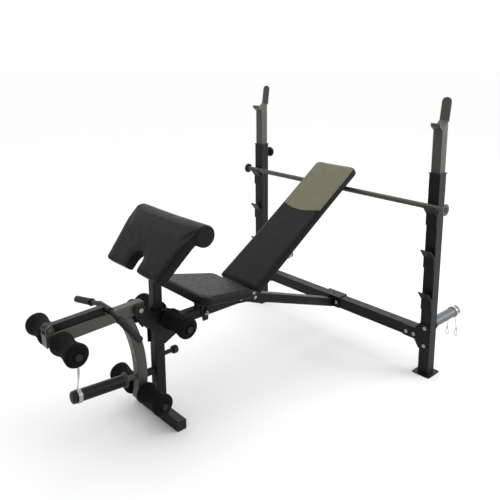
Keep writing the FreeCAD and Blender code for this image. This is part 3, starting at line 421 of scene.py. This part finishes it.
def stuffed(name, shells, held, cap, material, voxel=0.005, rounding=2, pull=2.2 * MM):
    """A padded form: shells are merged and softened, blown up, and subdivided once."""
    obj = to_object(name, shells, material)
    remesh = obj.modifiers.new("remesh", "REMESH")
    remesh.mode = "VOXEL"
    remesh.voxel_size = voxel
    soften = obj.modifiers.new("soften", "SMOOTH")
    soften.factor = 0.5
    soften.iterations = rounding
    applied(obj)
    inflate(obj, held, cap)
    points = [v.co for v in obj.data.vertices]
    low = Vector([min(p[i] for p in points) for i in range(3)])
    high = Vector([max(p[i] for p in points) for i in range(3)])
    pull_in(obj.data, low, high, pull)
    settle = obj.modifiers.new("settle", "SMOOTH")
    settle.factor = 0.5
    settle.iterations = 5
    finer = obj.modifiers.new("finer", "SUBSURF")
    finer.levels = finer.render_levels = 1
    applied(obj)
    smooth(obj.data)
    obj.data.materials.clear()
    obj.data.materials.append(material)
    return obj


def tube(name, points, radius, material, closed=False, sides=3):
    """A round wire or welt through the points."""
    curve = bpy.data.curves.new(name, "CURVE")
    curve.dimensions = "3D"
    curve.bevel_depth = radius
    curve.bevel_resolution = sides
    curve.use_fill_caps = not closed
    curve.resolution_u = 6
    spline = curve.splines.new("NURBS")
    spline.points.add(len(points) - 1)
    for target, point in zip(spline.points, points):
        target.co = (*point, 1)
    spline.use_cyclic_u = closed
    spline.order_u = 3
    spline.use_endpoint_u = not closed
    holder = bpy.data.objects.new(name, curve)
    scene.collection.objects.link(holder)
    graph = bpy.context.evaluated_depsgraph_get()
    mesh = bpy.data.meshes.new_from_object(holder.evaluated_get(graph))
    bpy.data.objects.remove(holder)
    bpy.data.curves.remove(curve)
    smooth(mesh)
    return link(name, mesh, material)


def joined(name, objects):
    """Several meshes as one object, in the first one's place."""
    whole = bmesh.new()
    for obj in objects:
        piece = obj.data.copy()
        piece.transform(objects[0].matrix_world.inverted() @ obj.matrix_world)
        whole.from_mesh(piece)
        bpy.data.meshes.remove(piece)
    whole.to_mesh(objects[0].data)
    whole.free()
    for obj in objects[1:]:
        bpy.data.objects.remove(obj)
    objects[0].name = name
    objects[0].data.update()
    return objects[0]


def on_surface(obj, points, lift, direction=(0, 0, -1), reach=0.3):
    """Drop the points onto the object's surface and lift them off it a little."""
    tree = BVHTree.FromObject(obj, bpy.context.evaluated_depsgraph_get())
    way = Vector(direction)
    found = []
    for point in points:
        hit = tree.ray_cast(Vector(point) - way * reach, way)[0]
        if hit is not None:
            found.append(hit - way * lift)
    return found


def settled(obj, place, body, slot, *replaced):
    """Put a piece built in its own axes where it belongs, and let it ride on its body."""
    obj.matrix_world = place
    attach(obj, body)
    if replaced:
        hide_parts(*replaced)
    return obj


# ---------------------------------------------------------------- where the pads are
def node_plane(name, angle):
    """The turn of a sloping pad, and its box in its own axes."""
    turn = Matrix.Rotation(math.radians(angle), 4, "X")
    back = turn.inverted()
    points = [back @ v.co for v in frame["nodes"][name].data.vertices]
    low = Vector([min(p[i] for p in points) for i in range(3)])
    high = Vector([max(p[i] for p in points) for i in range(3)])
    return turn, low, high


def pad_place(turn, low, high):
    """Own axes with X across, Y up the pad from its lower edge and Z out of its face."""
    return turn @ Matrix.Translation(Vector((0, low.y, high.z)))


def welt(obj, loop, radius, lift, name, material):
    """A sewn edge that follows the pad's surface."""
    points = on_surface(obj, [(p.x, p.y, 0) for p in loop], lift)
    return tube(name, points, radius, material, closed=True, sides=2)


def back_panel(name, loop, z, material):
    """The thin cloth that covers the underside of a board."""
    sheet = prism(loop, z - 0.8 * MM, z + 0.4 * MM)
    return to_object(name, [sheet], material)


STAPLE_STEP = 12 * MM
STAPLE_SIZE = (11 * MM, 1.3 * MM, 0.8 * MM)


def staples(name, loop, z, material, pitch=30 * MM):
    """Small crowns stapled along the loop."""
    whole = bmesh.new()
    gathered = 0.0
    for i, point in enumerate(loop):
        following = loop[(i + 1) % len(loop)]
        gathered += (following - point).length
        if gathered < pitch:
            continue
        gathered = 0.0
        angle = math.atan2(following.y - point.y, following.x - point.x)
        made = bmesh.ops.create_cube(whole, size=1.0)["verts"]
        bmesh.ops.scale(whole, verts=made, vec=STAPLE_SIZE)
        bmesh.ops.rotate(whole, verts=made, cent=(0, 0, 0), matrix=Matrix.Rotation(angle, 3, "Z"))
        bmesh.ops.translate(whole, verts=made, vec=(point.x, point.y, z))
    return to_object(name, [whole], material)


# ---------------------------------------------------------------- backrest
BACK_ANGLE = 34.78
SEAT_ANGLE = -11.35
PAD_ANGLE = 48.0
BOARD = 10 * MM


HEAD_START = 0.487
HEAD_CURVE = 1.85


def headrest(s):
    """Mask of the lighter panel on the top face: its lower edge is an arc that dips in the middle."""
    across = s.position("X")
    dip = s.calc("MULTIPLY", s.calc("MULTIPLY", across, across), HEAD_CURVE)
    past = s.calc("SUBTRACT", s.position("Y"), s.calc("ADD", dip, HEAD_START))
    above_arc = s.remap(past, -0.0004, 0.0004, 0.0, 1.0)
    on_top = s.remap(s.position("Z"), -0.0052, -0.0044, 0.0, 1.0)
    return s.calc("MULTIPLY", above_arc, on_top), (0.105, 0.100, 0.064), (0.145, 0.138, 0.090)


turn, low, high = node_plane("back_cushion", BACK_ANGLE)
place = pad_place(turn, low, high)
length, half, thick = high.y - low.y, high.x, high.z - low.z + BOARD
TRIM = 0.5 * MM


def rectangle(x, y_low, y_high, low_radius, high_radius, front=None):
    front = x if front is None else front
    return [(-x, y_low, low_radius), (x, y_low, low_radius),
            (front, y_high, high_radius), (-front, y_high, high_radius)]


two_tone = vinyl("two_tone_vinyl", VINYL_DARK, VINYL_LIGHT, second=headrest)
loop = rounded_loop(rectangle(half - TRIM, TRIM, length - TRIM, 10 * MM, 26 * MM))
back_pad = stuffed("backrest_pad", [prism(loop, -thick + 0.5 * MM, -2 * MM)],
                   lambda p: p.z < -11 * MM, 3.5 * MM, two_tone)
arc = [(x * half / 10, HEAD_START + HEAD_CURVE * (x * half / 10) ** 2, 0) for x in range(-10, 11)]
arc = [p for p in arc if abs(p[0]) < half - 3 * MM]
seam = tube("headrest_seam", on_surface(back_pad, arc, -0.4 * MM), 1.7 * MM, VINYL, sides=2)
edge = welt(back_pad, rounded_loop(rectangle(half - 6 * MM, 6 * MM, length - 6 * MM, 6 * MM, 21 * MM)),
            1.3 * MM, -0.5 * MM, "backrest_welt", VINYL)
panel = back_panel("backrest_back_cloth",
                   rounded_loop(rectangle(half - 17 * MM, 17 * MM, length - 17 * MM, 8 * MM, 14 * MM)),
                   -thick, CLOTH)
pins = staples("backrest_staples",
               rounded_loop(rectangle(half - 20 * MM, 20 * MM, length - 20 * MM, 8 * MM, 12 * MM),
                            STAPLE_STEP),
               -thick - 0.7 * MM, ZINC)
settled(back_pad, place, "backrest", "black_vinyl", "back_cushion", "back_board")
for piece, slot_name in ((seam, "black_vinyl"), (edge, "black_vinyl"), (panel, "board"),
                         (pins, "zinc_plate")):
    settled(piece, place, "backrest", slot_name)

# ---------------------------------------------------------------- seat
turn, low, high = node_plane("seat_cushion", SEAT_ANGLE)
place = pad_place(turn, low, high)
length, half, thick = high.y - low.y, high.x, high.z - low.z + BOARD
rear_half = 150 * MM


def seat_corners(inset):
    return rectangle(half + 6.8 * MM - inset, inset, length - inset, 45 * MM - inset,
                     max(6 * MM, 14 * MM - inset), rear_half - inset)


seat_pad = stuffed("seat_pad", [prism(rounded_loop(seat_corners(TRIM)), -thick + 0.5 * MM, -2 * MM)],
                   lambda p: p.z < -13 * MM, 3.5 * MM, VINYL)
edge = welt(seat_pad, rounded_loop(seat_corners(6 * MM)), 1.4 * MM, -0.5 * MM, "seat_welt", VINYL)
panel = back_panel("seat_back_cloth", rounded_loop(seat_corners(17 * MM)), -thick, CLOTH)
pins = staples("seat_staples", rounded_loop(seat_corners(20 * MM), STAPLE_STEP),
                -thick - 0.7 * MM, ZINC)
settled(seat_pad, place, "seat", "black_vinyl", "seat_cushion", "seat_board")
for piece, slot_name in ((edge, "black_vinyl"), (panel, "board"), (pins, "zinc_plate")):
    settled(piece, place, "seat", slot_name)

# ---------------------------------------------------------------- arm pad with its roll
turn, low, high = node_plane("preacher_cushion", PAD_ANGLE)
place = pad_place(turn, low, high)
ROLL, DROP = 47 * MM, 57 * MM
face = high.y - low.y - ROLL
half = high.x
low_half = half - 42 * MM
SHOULDER = 95 * MM
thick = 47 * MM
NOTCH, DEPTH = 35 * MM, 82 * MM


def arm_corners(inset, top):
    n = NOTCH + inset
    return [(n, inset, 14 * MM), (low_half - inset, inset, 14 * MM), (half - inset, top, 10 * MM),
            (-half + inset, top, 10 * MM), (-low_half + inset, inset, 14 * MM),
            (-n, inset, 14 * MM), (-n, DEPTH + inset, n - 1 * MM), (n, DEPTH + inset, n - 1 * MM)]


def drum(radius, half_width, centre, segments=64):
    mesh = bmesh.new()
    bmesh.ops.create_cone(mesh, cap_ends=True, segments=segments, radius1=radius, radius2=radius,
                          depth=2 * half_width)
    bmesh.ops.rotate(mesh, verts=mesh.verts, cent=(0, 0, 0),
                     matrix=Matrix.Rotation(math.radians(90), 3, "Y"))
    bmesh.ops.translate(mesh, verts=mesh.verts, vec=centre)
    return mesh


def shouldered(mesh):
    """Let the face fall away smoothly to the top of the roll."""
    for k in range(8):
        y = face - SHOULDER * (1 - k / 8)
        whole = mesh.verts[:] + mesh.edges[:] + mesh.faces[:]
        bmesh.ops.bisect_plane(mesh, geom=whole, plane_co=(0, y, 0), plane_no=(0, 1, 0))
    for vertex in mesh.verts:
        past = max(0.0, vertex.co.y - face + SHOULDER) / SHOULDER
        if vertex.co.z > -5 * MM:
            vertex.co.z -= (DROP - ROLL) * past * past
    return mesh


slab = shouldered(prism(rounded_loop(arm_corners(TRIM, face)), -thick + 0.5 * MM, -2 * MM))
roll = drum(ROLL - 0.5 * MM, half - 0.2 * MM, (0, face, -DROP))
arm_pad = stuffed("arm_pad", [slab, roll],
                  lambda p: (p.z < -16 * MM and p.y < face - ROLL) or abs(p.x) > half - 3 * MM,
                  3.5 * MM, VINYL)
rings = []
for side in (-1, 1):
    ring = [(side * (half - 2 * MM), face + (ROLL - 7 * MM) * math.cos(a / 24 * math.tau),
             -DROP + (ROLL - 7 * MM) * math.sin(a / 24 * math.tau)) for a in range(24)]
    hits = on_surface(arm_pad, ring, -0.4 * MM, (-side, 0, 0))
    rings.append(tube(f"roll_seam_{side}", hits, 1.5 * MM, VINYL, closed=True, sides=2))
edge = welt(arm_pad, rounded_loop(arm_corners(6 * MM, face - 4 * MM)), 1.2 * MM, -0.5 * MM,
            "arm_pad_welt", VINYL)
seams = joined("arm_pad_seams", rings + [edge])
panel_corners = [(NOTCH + 20 * MM, 20 * MM, 8 * MM), (low_half - 20 * MM, 20 * MM, 12 * MM),
                 (half - 30 * MM, face - ROLL - 16 * MM, 12 * MM),
                 (-half + 30 * MM, face - ROLL - 16 * MM, 12 * MM),
                 (-low_half + 20 * MM, 20 * MM, 12 * MM), (-NOTCH - 20 * MM, 20 * MM, 8 * MM),
                 (-NOTCH - 20 * MM, DEPTH + 16 * MM, 20 * MM),
                 (NOTCH + 20 * MM, DEPTH + 16 * MM, 20 * MM)]
panel = back_panel("arm_pad_back_cloth", rounded_loop(panel_corners), -thick, CLOTH)
settled(arm_pad, place, "preacher", "black_vinyl", "preacher_cushion", "preacher_board")
settled(seams, place, "preacher", "black_vinyl")
settled(panel, place, "preacher", "board")


# ---------------------------------------------------------------- foam rollers
WAIST, SWELL = 37 * MM, 9.8 * MM
END_START, END_DROP = 0.76, 15 * MM


def roller(side, where):
    """A foam sleeve squeezed to a waist, with soft rounded ends and an open bore."""
    node = f"{side}_{where}_roller"
    low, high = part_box(node)
    centre = (low + high) / 2
    half = (high.x - low.x) / 2
    seed = Vector((7.1, 3.3, 1.9)) * (1 + len(node) + (3 if side == "left" else 0))
    profile = [(-half + 1 * MM, 12.5 * MM), (-half + 0.2 * MM, 16 * MM)]
    for k in range(25):
        t = -1 + k / 12
        outward = 0.5 - 0.5 * math.cos(math.pi * t)
        radius = WAIST + SWELL * outward ** 1.15
        end = (abs(t) - END_START) / (1 - END_START)
        if end > 0:
            radius -= END_DROP * (1 - math.sqrt(max(0.0, 1 - end ** 2)))
        profile.append((t * half, radius))
    profile += [(half - 0.2 * MM, 16 * MM), (half - 1 * MM, 12.5 * MM)]
    mesh = bmesh.new()
    turns = 72
    rings = []
    for x, radius in profile:
        ring = []
        for a in range(turns):
            angle = a / turns * math.tau
            point = Vector((x, radius * math.cos(angle), radius * math.sin(angle)))
            if radius > 20 * MM:
                lump = 1.1 * MM * noise.noise(point * 28 + seed)
                lump += 0.3 * MM * noise.noise(point * 95 + seed)
                point.y += lump * math.cos(angle)
                point.z += lump * math.sin(angle)
            ring.append(mesh.verts.new(point + centre))
        rings.append(ring)
    for first, second in zip(rings, rings[1:]):
        for a in range(turns):
            b = (a + 1) % turns
            mesh.faces.new((first[a], first[b], second[b], second[a]))
    for a in range(turns):
        b = (a + 1) % turns
        mesh.faces.new((rings[0][b], rings[0][a], rings[-1][a], rings[-1][b]))
    obj = to_object(f"{side}_{where}_foam", [mesh], FOAM)
    finer = obj.modifiers.new("finer", "SUBSURF")
    finer.levels = finer.render_levels = 1
    applied(obj)
    smooth(obj.data)
    settled(obj, Matrix.Identity(4), f"{side}_{where}_foam", "foam_rubber", node)


for side in ("left", "right"):
    for where in ("top", "front", "lower"):
        roller(side, where)


# ---------------------------------------------------------------- spring collars
WIRE = 2.1 * MM
COILS, COIL_STEPS = 4, 16
COIL_HALF = 8.6 * MM
CENTRE_RISE = 30 * MM


def collar(name, node, body, axis, handle):
    """A torsion-spring clip: closed coils with two wire arms that end in teardrop loops."""
    low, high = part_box(node)
    axis = Vector(axis).normalized()
    up = Vector(handle)
    up = (up - axis * up.dot(axis)).normalized()
    across = axis.cross(up)
    turn = Matrix((up, across, axis)).transposed()
    local = [turn.inverted() @ v.co for v in frame["nodes"][node].data.vertices]
    middle_z = (min(p.z for p in local) + max(p.z for p in local)) / 2
    middle_y = (min(p.y for p in local) + max(p.y for p in local)) / 2
    top_x = max(p.x for p in local)
    bottom_x = min(p.x for p in local)
    centre = turn @ Vector((bottom_x + CENTRE_RISE, middle_y, middle_z))
    reach = top_x - bottom_x - CENTRE_RISE
    radius = 25.2 * MM + WIRE
    last_step = COILS * COIL_STEPS + 4
    points = []
    for k in range(last_step + 1):
        angle = math.radians(62) + k / COIL_STEPS * math.tau
        z = -COIL_HALF + 2 * COIL_HALF * k / last_step
        points.append(Vector((radius * math.cos(angle), radius * math.sin(angle), z)))

    def arm(foot, side):
        """From the coil's end out to a teardrop loop and back to the wire."""
        y, z = side * 20 * MM, foot.z
        tip = reach - 3 * MM
        stem = [(reach * 0.42, side * 17 * MM), (reach * 0.66, y)]
        loop = [(tip - 22 * MM, y - side * 7 * MM), (tip - 7 * MM, y - side * 8.5 * MM),
                (tip, y), (tip - 7 * MM, y + side * 8.5 * MM), (tip - 22 * MM, y + side * 6 * MM),
                (reach * 0.62, y + side * 1.2 * MM)]
        return [Vector((a, b, z)) for a, b in stem + loop]

    first, last = points[0], points[-1]
    side = 1 if first.y > 0 else -1
    path = arm(first, side)[::-1] + points + arm(last, -side)
    obj = tube(name, path, WIRE, CHROME, sides=3)
    obj.matrix_world = Matrix.Translation(centre) @ turn.to_4x4()
    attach(obj, body)
    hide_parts(node)


SLEEVE_TILT = math.radians(4)
collar("left_peg_spring", "left_peg_collar", "left_peg_clip", (0, 1, 0), (0, 0, -1))
collar("right_peg_spring", "right_peg_collar", "right_peg_clip", (0, 1, 0), (0, 0, 1))
collar("sleeve_spring", "sleeve_collar", "sleeve_clip",
       (0, -math.cos(SLEEVE_TILT), math.sin(SLEEVE_TILT)), (0, 0, 1))

# ---------------------------------------------------------------- floor, light and camera
paper = Shader("paper", Roughness=0.9)
paper.colour(paper.blend(paper.noise(1.3, 3), (0.66, 0.66, 0.66), (0.69, 0.69, 0.69)))
paper.relief(paper.noise(90, 3), 0.3 * MM, 0.1)
ground = bmesh.new()
bmesh.ops.create_grid(ground, x_segments=8, y_segments=8, size=55)
floor = to_object("floor", [ground], paper.material)

BACKDROP = Vector((-0.36, 0.56, 0.74))


def studio_sky():
    """Soft light all round, brightest over and behind the bench and dimmest from the front."""
    world = bpy.data.worlds.new("studio")
    world.use_nodes = True
    nodes, links = world.node_tree.nodes, world.node_tree.links
    toward = nodes.new("ShaderNodeVectorMath")
    toward.operation = "DOT_PRODUCT"
    toward.inputs[1].default_value = BACKDROP
    links.new(nodes.new("ShaderNodeTexCoord").outputs["Generated"], toward.inputs[0])
    level = nodes.new("ShaderNodeMapRange")
    level.interpolation_type = "SMOOTHSTEP"
    for index, value in enumerate((-0.55, 0.85, 0.42, 1.70), start=1):
        level.inputs[index].default_value = value
    links.new(toward.outputs["Value"], level.inputs[0])
    links.new(level.outputs[0], nodes["Background"].inputs["Strength"])
    nodes["Background"].inputs["Color"].default_value = (1.0, 1.0, 1.0, 1)
    return world


scene.world = studio_sky()


def softbox(name, spot, aim, size, power, tint=(1, 1, 1)):
    lamp = bpy.data.lights.new(name, "AREA")
    lamp.shape = "RECTANGLE"
    lamp.size, lamp.size_y = size
    lamp.energy = power
    lamp.color = tint
    holder = bpy.data.objects.new(name, lamp)
    scene.collection.objects.link(holder)
    holder.location = spot
    holder.rotation_euler = (Vector(aim) - Vector(spot)).to_track_quat("-Z", "Y").to_euler()


softbox("key", (3.6, 4.0, 2.2), (0, 0.3, 0.6), (3.0, 2.6), 165, (0.95, 0.97, 1.0))
softbox("fill", (-1.5, -4.5, 3.0), (0, -0.2, 0.5), (3.0, 2.0), 8)
softbox("overhead", (0, 0.8, 4.6), (0, 0, 0.4), (4.0, 4.0), 40, (0.96, 0.98, 1.0))

camera_data = bpy.data.cameras.new("camera")
camera = bpy.data.objects.new("camera", camera_data)
scene.collection.objects.link(camera)
scene.camera = camera
camera_data.sensor_width = 36
camera_data.lens = 42.78
camera_data.shift_x = -0.0532
camera_data.shift_y = -0.1346
camera_data.clip_end = 60
yaw, pitch, roll_angle = math.radians(46.360), math.radians(-12.410), math.radians(0.209)
forward = Vector((-math.sin(yaw) * math.cos(pitch), math.cos(yaw) * math.cos(pitch), math.sin(pitch)))
right = Vector((math.cos(yaw), math.sin(yaw), 0))
above = right.cross(forward)
right, above = (right * math.cos(roll_angle) + above * math.sin(roll_angle),
                above * math.cos(roll_angle) - right * math.sin(roll_angle))
camera.matrix_world = (Matrix.Translation((2.0191, -1.6950, 1.5388))
                       @ Matrix((right, above, -forward)).transposed().to_4x4())
scene.view_settings.view_transform = "Standard"
